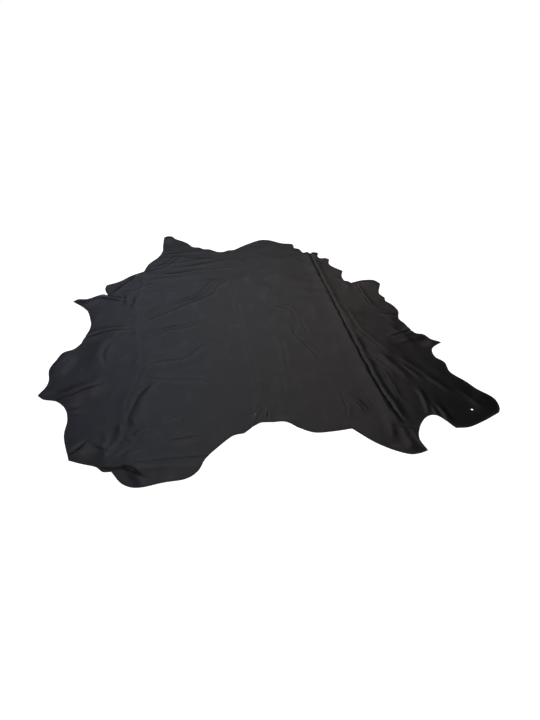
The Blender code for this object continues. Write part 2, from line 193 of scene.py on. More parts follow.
# Mesh points: a staggered grid in three finenesses, and closer points along the creases.
# Each side has columns: finest step, bend tolerance, step along a crease (0 for none).
GRAIN_SIDE = (4.6, 0.1, 8)
FLESH_SIDE = (9.2, 0.4, 0)
LEVELS = (4, 2, 1)
LEVEL_SLACK = 1.4
SURVEY_STEP = 5.0
EDGE_STEP = 9
ROUTE_STEP = 6
BORDER_CLEARANCE_SHARE = 0.75
LINE_CLEARANCE = 3.4
FLATTEST_BEND = 1e-9

# A cell's number is its column times this, plus its row
CELL_STRIDE = 1_000_003

# Triangulation: all triangles of the hull are asked for, and those outside the skin dropped
WHOLE_HULL = 0
MERGE_DISTANCE = 1e-9

# Edges sharper than this angle, in degrees, are shaded as edges
SHARP_ANGLE = 60

# Form of a fold
FOLD_TAPER = 130
FOLD_TAPER_SHARE = 0.4
VALLEY_CREST_SHARE = 0.24
WANDER = 4
WANDER_LENGTH = 85
WANDER_SEEDS = (41, 43)
UNEVEN_SHARE = 0.3
UNEVEN_LENGTH = 110
UNEVEN_SEED = 47
NOISE_CELLS = 64
NOISE_GAIN = 1.6
LOOSE_SOFTNESS = 0.08

# Cut edge, anticlockwise from the left cheek. Each stretch is one smooth curve through its
# points (x, y), and it ends where the next one starts. Between two stretches is a corner.
EDGE_STRETCHES = (
    ("left cheek end", ((-440, 1390), (-475, 1396), (-505, 1375))),
    ("left cheek", ((-505, 1375), (-515, 1220), (-520, 1070), (-555, 955), (-620, 845), (-655, 710))),
    ("left shoulder", ((-655, 710), (-750, 645), (-825, 570), (-905, 530))),
    ("left fore shank, upper end", ((-905, 530), (-912, 475), (-885, 370))),
    ("left fore shank, lower end", ((-885, 370), (-920, 392), (-1015, 338), (-1075, 344), (-1105, 314))),
    ("left armpit", ((-1105, 314), (-1045, 240), (-997, 172), (-965, 60), (-950, -40), (-980, -225))),
    ("left belly", ((-980, -225), (-1015, -278), (-1070, -314), (-1092, -394), (-1114, -476),
                    (-1101, -586), (-1131, -698))),
    ("left flank", ((-1131, -698), (-1100, -728), (-1039, -752), (-978, -826), (-957, -910),
                    (-956, -1014), (-908, -1186))),
    ("left hind shank end", ((-908, -1186), (-792, -1239), (-756, -1272), (-723, -1276))),
    ("left butt", ((-723, -1276), (-672, -1353), (-610, -1387), (-510, -1380), (-412, -1370),
                   (-360, -1336), (-322, -1266), (-231, -1177), (-186, -1145), (-139, -1139))),
    ("tail notch", ((-139, -1139), (-61, -1085), (0, -1088), (71, -1101), (120, -1145), (181, -1187),
                    (270, -1195), (361, -1191))),
    ("right butt", ((361, -1191), (450, -1311), (563, -1393), (605, -1396), (650, -1386))),
    ("right hock", ((650, -1386), (640, -1321), (675, -1240), (734, -1177), (770, -1166),
                    (798, -1181), (841, -1270))),
    ("right hind shank end", ((841, -1270), (900, -1275), (985, -1250), (1098, -1203))),
    ("right flank", ((1098, -1203), (1120, -1171), (1131, -1102), (1085, -1015), (1060, -945),
                     (1017, -852), (1028, -758), (1001, -704), (1018, -625), (1097, -574))),
    ("right belly", ((1097, -574), (1058, -537), (1033, -466), (990, -447), (975, -390), (972, -330),
                     (958, -268), (992, -168), (980, -75), (959, -26), (968, 16), (953, 77),
                     (1011, 220))),
    ("right fore shank end", ((1011, 220), (982, 286), (904, 299), (813, 273))),
    ("right shoulder nick", ((813, 273), (794, 307), (778, 307), (776, 379), (810, 477))),
    ("right shoulder, scallop 1", ((810, 477), (759, 557), (744, 614), (767, 701))),
    ("right shoulder, scallop 2", ((767, 701), (742, 726), (709, 724), (690, 747), (713, 838))),
    ("right shoulder, scallop 3", ((713, 838), (675, 849), (644, 823), (627, 856))),
    ("right shoulder, scallop 4", ((627, 856), (593, 851), (579, 938), (544, 969))),
    ("right cheek", ((544, 969), (544, 1050), (466, 1084), (370, 1170), (330, 1186), (295, 1184))),
    ("neck", ((295, 1184), (221, 1142), (130, 1075), (46, 1011), (5, 1010), (-38, 982), (-78, 990),
              (-145, 1058), (-185, 1067), (-223, 1109), (-271, 1129), (-325, 1235), (-407, 1326),
              (-440, 1390))),
)

# Creases that lie on the surface between two raised shoulders.
# Columns: name, left height, left width, right height, right width, route. Left and right are
# seen along the route. A route that runs past the edge carries the crease over the edge.
CREASES = (
    ("packing fold, right", 7, 100, 4, 50,
     ((625, -1225), (610, -1110), (597, -900), (598, -650), (604, -300), (622, 180), (636, 560),
      (650, 930))),
    ("packing fold, left", 0.4, 50, 1, 60,
     ((-625, 790), (-635, 420), (-655, 80), (-648, -190), (-628, -370), (-622, -530), (-660, -710),
      (-685, -860), (-668, -985), (-690, -1080), (-730, -1180))),
    ("packing fold, centre", 1, 50, 1, 50,
     ((-40, 1060), (-35, 550), (-33, 100), (-27, -400), (-27, -800), (-38, -1180))),
    ("packing fold, short right", 2.2, 40, 1.9, 34, ((845, 340), (836, 80), (842, -150))),
    ("fold beside the right one", 1.8, 50, 1.3, 40,
     ((663, -60), (660, -330), (690, -440), (712, -520), (745, -640))),
    ("third fold of the right panel", 1.8, 40, 1.5, 30,
     ((628, -540), (655, -650), (695, -720), (730, -860))),
    ("fold along the right one", 1.2, 26, 1, 26, ((660, -700), (660, -835), (665, -930), (660, -1080))),
    ("cross mark of the right panel", 1.6, 26, 1.6, 26, ((650, -205), (700, -180), (785, -145))),
    ("twin fold, upper", 2.5, 38, 2.2, 56,
     ((-665, 5), (-595, 65), (-465, 155), (-330, 225), (-260, 280), (-210, 340), (-170, 425), (-132, 540))),
    ("twin fold, lower", 2.6, 38, 3.4, 92,
     ((-660, -60), (-590, 0), (-465, 80), (-300, 190), (-230, 235), (-170, 300), (-112, 470))),
    ("left fan fold 1", 2.8, 46, 2.8, 84,
     ((-630, -250), (-530, -195), (-480, -155), (-410, -155), (-315, -125), (-210, -100))),
    ("left fan fold 2", 3.2, 56, 3.6, 100,
     ((-640, -545), (-560, -495), (-425, -480), (-380, -465), (-340, -425), (-300, -375), (-225, -330))),
    ("left fan fold 2, small", 1.2, 36, 1.5, 50, ((-600, -395), (-540, -390), (-440, -376))),
    ("left fan fold 3", 1, 50, 6.5, 150,
     ((-690, -1030), (-668, -920), (-645, -830), (-622, -760), (-575, -690), (-500, -655))),
    ("left fan fold 3, far end", 2.4, 60, 2.6, 100,
     ((-640, -690), (-575, -655), (-470, -668), (-315, -695), (-275, -730), (-220, -800))),
    ("left fan fold 4", 1.9, 46, 2.6, 76,
     ((-545, -1200), (-500, -1140), (-430, -1130), (-365, -1125), (-260, -1130))),
    ("left fan fold 4, small", 1.4, 38, 1.8, 54, ((-505, -1090), (-405, -1080), (-330, -1060))),
    ("left fan fold 5", 1.5, 40, 1.9, 60, ((-550, -1015), (-475, -980), (-380, -955))),
    ("long crease of the left butt", 3, 44, 4.6, 170,
     ((-680, -1228), (-600, -1238), (-500, -1246), (-410, -1250), (-225, -1262))),
    ("second crease of the left butt", 1.4, 36, 2, 60, ((-590, -1258), (-450, -1272), (-310, -1290))),
    ("left armpit crease", 3.2, 70, 4.2, 100,
     ((-1060, -200), (-960, -160), (-850, -108), (-740, -105), (-650, -80))),
    ("left belly arc", 1.2, 50, 4, 130,
     ((-650, -110), (-780, -205), (-832, -300), (-840, -380), (-822, -450), (-785, -520))),
    ("left flank crease", 5, 80, 6.5, 110, ((-1110, -775), (-1000, -718), (-905, -670), (-790, -622))),
    ("left hock crease", 3, 60, 3.4, 76, ((-1060, -838), (-950, -828), (-860, -815))),
    ("left hind shank crease", 4.6, 74, 6, 100, ((-990, -1215), (-890, -1118), (-820, -1035))),
    ("left hind shank crease, small", 1.2, 40, 1.6, 60, ((-850, -1085), (-780, -1135), (-700, -1180))),
    ("left shoulder crease", 2.4, 52, 2.8, 76, ((-575, 720), (-460, 840), (-395, 945), (-370, 1010))),
    ("left shoulder crease, cross", 1.4, 40, 1.8, 60, ((-570, 612), (-460, 596), (-355, 590), (-110, 612))),
    ("right belly crease", 4.2, 64, 5, 60, ((1060, -380), (950, -425), (880, -447), (800, -475))),
    ("right butt cross crease", 1.8, 44, 2.2, 50, ((520, -1180), (620, -1225), (735, -1260))),
    ("middle crease 1", 2.6, 56, 3, 76, ((275, -170), (275, -365), (305, -450), (330, -530), (365, -670))),
    ("middle crease 2", 2, 50, 2.4, 64, ((352, -90), (345, -285), (352, -430))),
    ("middle crease 3", 2.4, 54, 2.8, 70, ((180, 130), (245, 10), (300, -25), (306, -185))),
    ("middle crease 4", 1.9, 60, 2.4, 84, ((188, -280), (172, -490), (150, -750))),
    ("middle crease 5", 1.7, 46, 1.8, 60, ((108, -720), (95, -930))),
    ("tail crease 1", 1.8, 40, 2, 46, ((-55, -670), (-25, -790), (0, -845), (40, -930))),
    ("tail crease 2", 2.6, 30, 2.4, 26, ((60, -880), (28, -950), (-5, -1020), (-20, -1140))),
    ("tail crease 3", 2.6, 26, 2.6, 30, ((-35, -930), (-65, -1005), (-100, -1085), (-118, -1160))),
    ("right butt crease 1", 1.5, 34, 1.6, 44, ((395, -860), (380, -980), (380, -1045), (345, -1140))),
    ("right butt crease 2", 1.2, 30, 1.3, 36, ((412, -940), (450, -1035), (470, -1130))),
    ("right butt crease 3", 1, 28, 1.1, 32, ((502, -890), (510, -1005), (512, -1100))),
    ("right butt crease 4", 1.2, 30, 1.3, 34, ((553, -950), (560, -1065), (560, -1180))),
)

# Folds that stand up along a crest.
# Columns: name, height, left width, right width, route.
RIDGES = (
    ("hind pleat", 9, 110, 19,
     ((-850, -1225), (-775, -1240), (-720, -1253), (-668, -1254), (-638, -1270), (-604, -1300),
      (-570, -1328), (-525, -1350))),
    ("left flank fold", 3, 60, 44, ((-1060, -850), (-980, -800), (-915, -762), (-850, -712), (-770, -645))),
    ("left fore shank fold", 5.5, 40, 34, ((-870, 350), (-810, 440), (-740, 545), (-640, 680))),
    ("fore shank overlap", 7, 42, 28, ((-1010, 345), (-915, 345), (-850, 318), (-740, 262))),
    ("left shoulder bump, outer", 5, 36, 36, ((-742, 400), (-745, 290), (-730, 170))),
    ("left shoulder bump, inner", 4.6, 34, 34, ((-690, 340), (-690, 230), (-700, 110))),
    ("left hind shank fold", 3, 36, 30, ((-840, -1040), (-790, -1100), (-740, -1180))),
    ("left butt lobe fold", 3.4, 40, 30, ((-660, -1270), (-610, -1325), (-585, -1410))),
    ("gathered fold 1 by the hind pleat", 2.6, 34, 26, ((-775, -1200), (-735, -1150), (-690, -1120))),
    ("gathered fold 2 by the hind pleat", 3.2, 36, 28, ((-735, -1215), (-690, -1160), (-630, -1130))),
    ("gathered fold 3 by the hind pleat", 2.4, 34, 26, ((-690, -1215), (-640, -1180), (-570, -1165))),
    ("gathered fold 4 by the hind pleat", 3, 32, 24, ((-770, -1150), (-760, -1085), (-770, -1010))),
    ("gathered fold 5 by the hind pleat", 2.6, 32, 24, ((-715, -1110), (-700, -1040), (-720, -950))),
    ("gathered fold 6 by the hind pleat", 3, 26, 20, ((-650, -1100), (-610, -1050), (-560, -1030))),
    ("tail fold", 3, 30, 26, ((10, -960), (-45, -1060), (-62, -1150))),
    ("right butt fold 1", 2.2, 32, 28, ((545, -1160), (540, -1220), (520, -1300))),
    ("right butt fold 2", 2.6, 32, 28, ((590, -1190), (592, -1260), (580, -1400))),
    ("right butt fold 3", 3, 34, 30, ((625, -1225), (640, -1300), (665, -1400))),
    ("right butt fold 4", 2.4, 26, 22, ((500, -1325), (550, -1352), (610, -1370))),
    ("right flank fold", 3.4, 40, 30, ((668, -560), (705, -660), (745, -760), (780, -900))),
    ("right hind shank fold 1", 2.2, 34, 28,
     ((790, -640), (845, -780), (885, -880), (930, -985), (960, -1080))),
    ("right hind shank fold 2", 2.6, 32, 26, ((770, -700), (815, -815), (860, -910))),
    ("right hind shank fold 3", 1.8, 30, 26, ((950, -930), (990, -1005), (1020, -1100), (1040, -1200))),
    ("right hock fold 1", 3.6, 30, 22, ((785, -920), (783, -1040), (750, -1190))),
    ("right hock fold 2", 3.2, 26, 22, ((800, -1040), (800, -1110), (785, -1220))),
    ("right hock fold 3", 4.4, 30, 24, ((815, -1030), (830, -1130), (828, -1270))),
    ("right belly fold", 4, 40, 34, ((800, -525), (930, -508), (1060, -478))),
    ("right belly edge fold", 3, 36, 34, ((820, -185), (915, -215), (1020, -250))),
    ("right fore shank fold", 3, 44, 40, ((720, 420), (760, 300), (770, 160))),
)

# Places where an edge or a panel of the skin lifts off the surface, and the small bumps that
# break up the left packing fold.
# Columns: name, x, y, height, radius along, radius across, direction in degrees.
LIFTS = (
    ("left belly lobe", -1075, -430, 12, 190, 100, 80),
    ("left flank tip", -1110, -690, 6, 90, 60, 20),
    ("left hind shank end", -880, -1150, 4, 110, 90, -25),
    ("left butt lobe", -540, -1390, 7, 170, 90, 10),
    ("left fore shank end", -1010, 265, 7, 130, 70, 40),
    ("left shoulder edge", -690, 640, 6, 120, 70, 40),
    ("left cheek", -475, 1340, 6, 120, 80, 90),
    ("right butt end", 620, -1350, 5, 110, 80, 10),
    ("right hind shank end", 1060, -1120, 3.5, 130, 80, 60),
    ("right flank tip", 1050, -570, 6, 90, 60, 20),
    ("right fore shank end", 930, 240, 6, 130, 80, 0),
    ("right shoulder edge", 690, 770, 4, 130, 60, -60),
    ("tail edge", 60, -1090, 6, 90, 60, 0),
    ("tent of the right fold", 628, -300, 6.5, 760, 340, 90),
    ("pit rim 1 of the left fold", -672, -150, 1.8, 34, 26, 60),
    ("pit rim 2 of the left fold", -600, -205, 1.6, 44, 24, 40),
    ("pit rim 3 of the left fold", -655, -470, 1.8, 40, 26, 70),
    ("pit rim 4 of the left fold", -590, -545, 1.6, 40, 26, 30),
    ("pit rim 5 of the left fold", -640, -975, 1.8, 44, 26, 100),
    ("pit rim 6 of the left fold", -705, -1010, 1.8, 40, 24, 70),
    ("pit rim 7 of the left fold", -655, -1085, 2, 46, 26, 120),
    ("pit rim 8 of the left fold", -735, -1120, 2, 40, 26, 60),
    ("pit rim 9 of the left fold", -590, 655, 1.8, 44, 30, 60),
    ("pit rim 10 of the left fold", -655, 560, 4, 50, 30, 80),
    ("pit rim 11 of the left fold", -595, 470, 3, 44, 28, 110),
)

# Loose skin: soft seeded swellings and small growth wrinkles that no single row above stands for.
# Columns: name, seed, height, length, width, direction in degrees, centre x, centre y, reach x,
# reach y. Length and width are those of one swelling.
LOOSE_SKIN = (
    ("the whole hide, wide", 3, 4.5, 260, 200, 70, 0, 0, 2600, 3200),
    ("the whole hide, small", 7, 1.5, 120, 70, 75, 0, 0, 2600, 3200),
    ("neck, growth wrinkles", 11, 3, 300, 46, 4, -330, 820, 640, 620),
    ("left shoulder", 13, 3.6, 130, 50, 20, -600, 560, 420, 420),
    ("left belly", 17, 2.8, 170, 60, 75, -960, -380, 330, 620),
    ("left butt", 19, 2, 150, 52, 10, -680, -1120, 420, 360),
    ("right belly", 23, 1.8, 160, 60, -60, 880, -280, 330, 700),
    ("right butt", 29, 1.9, 150, 48, 85, 480, -1120, 420, 330),
    ("right hind shank", 31, 1.2, 190, 44, -60, 930, -960, 300, 420),
    ("tail", 37, 2.2, 140, 44, 75, 10, -960, 330, 330),
)


def smooth_curve(points, step):
    """Points about step apart on the smooth curve that runs through the given ones."""
    p = np.array(points, float)
    p = np.vstack([2 * p[0] - p[1], p, 2 * p[-1] - p[-2]])
    curve = []
    for a, b, c, d in zip(p[:-3], p[1:-2], p[2:-1], p[3:]):
        t1 = math.sqrt(np.linalg.norm(b - a))
        t2 = t1 + math.sqrt(np.linalg.norm(c - b))
        t3 = t2 + math.sqrt(np.linalg.norm(d - c))
        count = max(2, round(np.linalg.norm(c - b) / step))
        for t in t1 + (t2 - t1) * np.arange(count) / count:
            ab = a + (b - a) * t / t1
            bc = b + (c - b) * (t - t1) / (t2 - t1)
            cd = c + (d - c) * (t - t2) / (t3 - t2)
            abc = ab + (bc - ab) * t / t2
            bcd = bc + (cd - bc) * (t - t1) / (t3 - t1)
            curve.append(abc + (bcd - abc) * (t - t1) / (t2 - t1))
    curve.append(p[-2])
    return np.array(curve)


def cut_edge():
    """The whole edge as one closed loop."""
    return np.vstack([smooth_curve(points, EDGE_STEP)[:-1] for _, points in EDGE_STRETCHES])


def hole_edge():
    turn = 2 * math.pi * np.arange(HOLE_SIDES) / HOLE_SIDES
    ring = np.stack([np.cos(turn), np.sin(turn)], 1) * HOLE_DIAMETER / 2
    return ring + np.array(HOLE_CENTRE, float)


class Route:
    """The line that a fold follows over the hide."""

    def __init__(self, points):
        self.line = smooth_curve(points, ROUTE_STEP)
        self.run = np.diff(self.line, axis=0)
        self.length = np.linalg.norm(self.run, axis=1)
        self.start = np.concatenate([[0], np.cumsum(self.length)])
        self.total = self.start[-1]

    def near(self, points, reach):
        """The points that lie inside the route's own rectangle, grown by reach."""
        low, high = self.line.min(0) - reach, self.line.max(0) + reach
        return np.flatnonzero(np.all((points > low) & (points < high), axis=1))

    def measure(self, points):
        """Distance along the route and signed distance from it, left positive."""
        best = np.full(len(points), np.inf)
        along = np.zeros(len(points))
        aside = np.zeros(len(points))
        for a, run, length, start in zip(self.line, self.run, self.length, self.start):
            offset = points - a
            share = np.clip(offset @ run / length ** 2, 0, 1)
            gap = np.linalg.norm(offset - share[:, None] * run, axis=1)
            side = np.sign(run[0] * offset[:, 1] - run[1] * offset[:, 0])
            nearer = gap < best
            best[nearer] = gap[nearer]
            along[nearer] = (start + share * length)[nearer]
            aside[nearer] = (gap * side)[nearer]
        return along, aside

    def strength(self, along):
        """A fold fades out at both ends."""
        taper = min(FOLD_TAPER, FOLD_TAPER_SHARE * self.total)
        fade = np.clip(np.minimum(along, self.total - along) / taper, 0, 1)
        return fade * fade * (3 - 2 * fade)

    def stations(self, step):
        """Points along the route for the mesh to follow."""
        count = max(3, round(self.total / step))
        at = np.linspace(0, self.total, count + 1)[1:-1]
        return np.stack([np.interp(at, self.start, self.line[:, k]) for k in (0, 1)], 1)


def crest(u):
    """Cross section of a ridge: 1 on its line, 0 from u = 1 outwards."""
    return 0.5 + 0.5 * np.cos(math.pi * np.clip(u, 0, 1))


def shoulder(u):
    """Cross section beside a crease: 0 on its line, 1 on the shoulder, 0 from u = 1 outwards."""
    rise = np.sin(0.5 * math.pi * np.clip(u / VALLEY_CREST_SHARE, 0, 1))
    fall = crest((u - VALLEY_CREST_SHARE) / (1 - VALLEY_CREST_SHARE))
    return np.where(u < VALLEY_CREST_SHARE, rise, fall)


def add_crease(height, points, row):
    _, left_height, left_width, right_height, right_width, route = row
    route = Route(route)
    near = route.near(points, max(left_width, right_width))
    along, aside = route.measure(points[near])
    left = left_height * shoulder(aside / left_width)
    right = right_height * shoulder(-aside / right_width)
    height[near] += np.maximum(np.where(aside > 0, left, right) * route.strength(along), 0)


def add_ridge(height, points, row):
    _, ridge_height, left_width, right_width, route = row
    route = Route(route)
    near = route.near(points, max(left_width, right_width))
    along, aside = route.measure(points[near])
    section = np.where(aside > 0, crest(aside / left_width), crest(-aside / right_width))
    height[near] += np.maximum(ridge_height * section * route.strength(along), 0)


def add_lift(height, points, row):
    _, x, y, lift, along, across, direction = row
    turn = math.radians(direction)
    axis = np.array([math.cos(turn), math.sin(turn)])
    side = np.array([-axis[1], axis[0]])
    offset = points - np.array([x, y], float)
    height += lift * crest(np.hypot(offset @ axis / along, offset @ side / across))


def noise(points, seed):
    """Smooth noise between about -1 and 1 over the plane, one cell to a unit."""
    turn = np.random.default_rng(seed).uniform(0, 2 * math.pi, (NOISE_CELLS, NOISE_CELLS))
    cell = np.floor(points).astype(int)
    part = points - cell
    fade = part ** 3 * (part * (part * 6 - 15) + 10)
    total = np.zeros(len(points))
    for i in (0, 1):
        for j in (0, 1):
            slope = turn[(cell[:, 0] + i) % NOISE_CELLS, (cell[:, 1] + j) % NOISE_CELLS]
            corner = np.cos(slope) * (part[:, 0] - i) + np.sin(slope) * (part[:, 1] - j)
            total += corner * np.abs(1 - i - fade[:, 0]) * np.abs(1 - j - fade[:, 1])
    return NOISE_GAIN * total


def add_loose_skin(height, points, row):
    _, seed, swelling, length, width, direction, x, y, reach_x, reach_y = row
    turn = math.radians(direction)
    axis = np.array([math.cos(turn), math.sin(turn)])
    side = np.array([-axis[1], axis[0]])
    wave = noise(np.stack([points @ axis / length, points @ side / width], 1), seed)
    lifted = 0.5 * (wave + np.sqrt(wave * wave + LOOSE_SOFTNESS ** 2))
    here = crest(np.hypot((points[:, 0] - x) / reach_x, (points[:, 1] - y) / reach_y))
    height += swelling * lifted * here


def rest_height(points):
    """Height of the underside over the surface. Folds wander a little and are never quite even."""
    wander = [noise(points / WANDER_LENGTH, seed) for seed in WANDER_SEEDS]
    wandered = points + WANDER * np.stack(wander, 1)
    height = np.zeros(len(points))
    for rows, add in ((CREASES, add_crease), (RIDGES, add_ridge)):
        for row in rows:
            add(height, wandered, row)
    height *= 1 + UNEVEN_SHARE * noise(points / UNEVEN_LENGTH, UNEVEN_SEED)
    for rows, add in ((LIFTS, add_lift), (LOOSE_SKIN, add_loose_skin)):
        for row in rows:
            add(height, points, row)
    return height


def inside(points, loop):
    """Even-odd test of points against a closed loop."""
    found = np.zeros(len(points), bool)
    x, y = points[:, 0], points[:, 1]
    for (ax, ay), (bx, by) in zip(loop, np.roll(loop, -1, axis=0)):
        crosses = (ay > y) != (by > y)
        if ay != by:
            found ^= crosses & (x < ax + (y - ay) * (bx - ax) / (by - ay))
    return found


def too_near(points, others, clearance):
    """Which points lie within clearance of any of the others, found cell by cell."""
    def cells(p):
        return np.floor(p / clearance).astype(np.int64)

    def keys(c):
        return c[:, 0] * CELL_STRIDE + c[:, 1]

    order = np.argsort(keys(cells(others)), kind="stable")
    others = others[order]
    sorted_keys = keys(cells(others))
    close = np.zeros(len(points), bool)
    home = cells(points)
    for shift_x in (-1, 0, 1):
        for shift_y in (-1, 0, 1):
            wanted = keys(home + np.array([shift_x, shift_y]))
            first = np.searchsorted(sorted_keys, wanted, "left")
            last = np.searchsorted(sorted_keys, wanted, "right")
            for step in range(int((last - first).max(initial=0))):
                here = np.flatnonzero(first + step < last)
                gap = np.linalg.norm(points[here] - others[first[here] + step], axis=1)
                close[here[gap < clearance]] = True
    return close


def bend_survey(low, high):
    """How tightly the sheet bends over the hide, on a square grid."""
    xs = np.arange(low[0], high[0] + SURVEY_STEP, SURVEY_STEP)
    ys = np.arange(low[1], high[1] + SURVEY_STEP, SURVEY_STEP)
    grid_x, grid_y = np.meshgrid(xs, ys)
    height = rest_height(np.stack([grid_x.ravel(), grid_y.ravel()], 1)).reshape(grid_x.shape)
    slope_y, slope_x = np.gradient(height, SURVEY_STEP)
    bend = np.abs(np.gradient(slope_y, SURVEY_STEP)[0]) + np.abs(np.gradient(slope_x, SURVEY_STEP)[1])
    wide = np.pad(bend, 1, mode="edge")
    rows, columns = bend.shape
    return np.max([wide[j:j + rows, i:i + columns] for i in range(3) for j in range(3)], axis=0)


def grid_points(edge, bend, finest, tolerance):
    """A staggered grid, fine where the sheet bends and coarse where it is flat."""
    low, high = edge.min(0), edge.max(0)
    row_step = finest * math.sqrt(3) / 2
    half = finest / 2
    rows = np.arange(int((high[1] - low[1]) / row_step) + 1)
    columns = np.arange(int((high[0] - low[0]) / half) + 1)
    i, j = (a.ravel() for a in np.meshgrid(columns, rows))
    points = np.stack([low[0] + i * half, low[1] + j * row_step], 1)
    cell = np.floor((points - low) / SURVEY_STEP).astype(int)
    # The longest chord that strays from an arc of this bend by no more than the tolerance
    wanted = np.sqrt(8 * tolerance / np.maximum(bend[cell[:, 1], cell[:, 0]], FLATTEST_BEND))
    keep = np.zeros(len(points), bool)
    limit = math.inf
    for size in LEVELS:
        on_level = (j % size == 0) & (i % size == 0) & ((i // size - j // size) % 2 == 0)
        keep |= on_level & (wanted < limit)
        limit = LEVEL_SLACK * finest * size / 2
    return points[keep]


def side_mesh(edge, hole, bend, finest, tolerance, line_step):
    """One side of the sheet seen from above: the border's points first, and its triangles."""
    points = grid_points(edge, bend, finest, tolerance)
    if line_step:
        lines = np.vstack([Route(row[-1]).stations(line_step) for row in CREASES + RIDGES])
        kept = lines[:1]
        for point in lines[1:]:
            if np.min(np.sum((kept - point) ** 2, axis=1)) > LINE_CLEARANCE ** 2:
                kept = np.vstack([kept, point])
        points = np.vstack([kept, points[~too_near(points, kept, LINE_CLEARANCE)]])
    points = points[inside(points, edge) & ~inside(points, hole)]
    borders = np.vstack([edge, hole])
    points = points[~too_near(points, borders, BORDER_CLEARANCE_SHARE * EDGE_STEP)]
    points = np.vstack([borders, points])
    outer = list(range(len(edge)))
    inner = list(range(len(edge), len(borders)))
    rims = [(a, b) for loop in (outer, inner) for a, b in zip(loop, loop[1:] + loop[:1])]
    flat = [Vector((x * MM, y * MM)) for x, y in points]
    faces = np.array(delaunay_2d_cdt(flat, rims, [], WHOLE_HULL, MERGE_DISTANCE)[2])
    centres = points[faces].mean(1)
    faces = faces[inside(centres, edge) & ~inside(centres, hole)]
    return points, upward(points, faces), rims


def upward(corners, faces):
    """All triangles turned the same way round, anticlockwise from above."""
    a, b, c = (corners[faces[:, k]] for k in (0, 1, 2))
    turn = (b[:, 0] - a[:, 0]) * (c[:, 1] - a[:, 1]) - (b[:, 1] - a[:, 1]) * (c[:, 0] - a[:, 0])
    faces[turn < 0] = faces[turn < 0][:, ::-1]
    return faces


def crest_share(faces, height):
    """From -1 in a valley to 1 on a crest: how far each point stands over those round it."""
    ends = np.vstack([faces[:, (0, 1)], faces[:, (1, 2)], faces[:, (2, 0)]])
    ends = np.vstack([ends, ends[:, ::-1]])
    near = np.bincount(ends[:, 0], minlength=len(height))
    smooth = height
    for _ in range(CREST_ROUNDS):
        smooth = np.bincount(ends[:, 0], smooth[ends[:, 1]], len(height)) / near
    return np.tanh((height - smooth) / CREST_SCALE)


def rim_share(points, edge):
    """1 on the cut edge, 0 from RIM_WIDTH inwards."""
    tree = KDTree(len(edge))
    for k, (x, y) in enumerate(edge):
        tree.insert((x, y, 0), k)
    tree.balance()
    gap = np.array([tree.find((x, y, 0))[2] for x, y in points])
    return np.clip(1 - gap / RIM_WIDTH, 0, 1)


def make_hide(materials):
    edge, hole = cut_edge(), hole_edge()
    bend = bend_survey(edge.min(0), edge.max(0))
    top, top_faces, rims = side_mesh(edge, hole, bend, *GRAIN_SIDE)
    under, under_faces, _ = side_mesh(edge, hole, bend, *FLESH_SIDE)
    grain = np.column_stack([top, rest_height(top) + THICKNESS])
    flesh = np.column_stack([under, rest_height(under)])
    count = len(top)
    rim = [(b, a, a + count, b + count) for a, b in rims]
    polygons = [*top_faces.tolist(), *(under_faces[:, ::-1] + count).tolist(), *rim]
    mesh = bpy.data.meshes.new("hide_leather")
    mesh.from_pydata((np.vstack([grain, flesh]) * MM).tolist(), [], polygons)
    for material in materials:
        mesh.materials.append(material)
    part = np.repeat([0, 1, 2], [len(top_faces), len(under_faces), len(rim)])
    mesh.polygons.foreach_set("material_index", part.astype(np.int32))
    for name, share in (("crest", crest_share(top_faces, grain[:, 2])), ("rim", rim_share(top, edge))):
        values = np.zeros(len(mesh.vertices), np.float32)
        values[:count] = share
        mesh.attributes.new(name, "FLOAT", "POINT").data.foreach_set("value", values)
    mesh.shade_smooth()
    mesh.set_sharp_from_angle(angle=math.radians(SHARP_ANGLE))
    hide = bpy.data.objects.new("hide_leather", mesh)
    bpy.context.scene.collection.objects.link(hide)
    return hide


